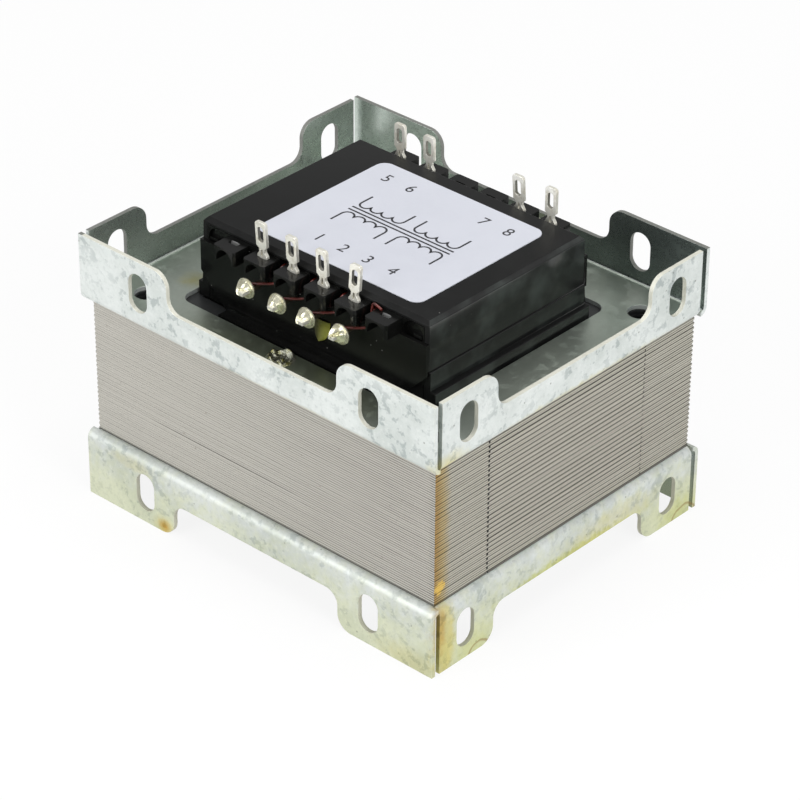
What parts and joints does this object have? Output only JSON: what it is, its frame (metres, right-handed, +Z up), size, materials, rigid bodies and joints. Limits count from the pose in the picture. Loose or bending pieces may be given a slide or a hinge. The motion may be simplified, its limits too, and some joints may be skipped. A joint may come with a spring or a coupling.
{
  "type": "laminated chassis transformer",
  "caption": "Laminated-core mains transformer held between pressed steel frames with slotted lugs, with a covered coil, terminal posts and solder tags, for chassis mounting.",
  "frame": {"origin": "middle of the footprint, on the plane of the lower frame's lug tips", "axes": "+X along the yokes (the longest side), +Y along the coil's axis from the secondary row to the primary row, +Z up towards the label"},
  "size_m": [0.0988, 0.0842, 0.0737],
  "materials": {
    "core_sheets": "varnished edges of silicon-steel sheet",
    "zinc_plate": "zinc-plated sheet, mottled, lightly varnished",
    "weld_metal": "bright weld with heat tint",
    "bobbin_plastic": "satin black moulding",
    "cover_plastic": "satin black moulding",
    "enamelled_wire": "red enamelled copper",
    "coil_tape": "yellow polyester tape",
    "label_film": "pale plastic-coated label",
    "solder": "bright set solder",
    "tinned_brass": "tinned"
  },
  "bodies": {
    "root": {"laminated_core": "core_sheets", "upper_frame": "zinc_plate", "lower_frame": "zinc_plate", "upper_frame_welds": "weld_metal", "lower_frame_welds": "weld_metal", "bobbin": "bobbin_plastic", "secondary_winding": "enamelled_wire", "primary_winding": "enamelled_wire", "secondary_tape": "coil_tape", "primary_tape": "coil_tape", "upper_cover": "cover_plastic", "lower_cover": "cover_plastic", "label": "label_film", "secondary_solder": "solder", "primary_solder": "solder", "secondary_leads": "enamelled_wire", "primary_leads": "enamelled_wire", "tape_tab": "coil_tape", "secondary_tag_1": "tinned_brass", "secondary_tag_2": "tinned_brass", "secondary_tag_3": "tinned_brass", "secondary_tag_4": "tinned_brass", "primary_tag_1": "tinned_brass", "primary_tag_2": "tinned_brass", "primary_tag_3": "tinned_brass", "primary_tag_4": "tinned_brass"}
  },
  "joints": []
}
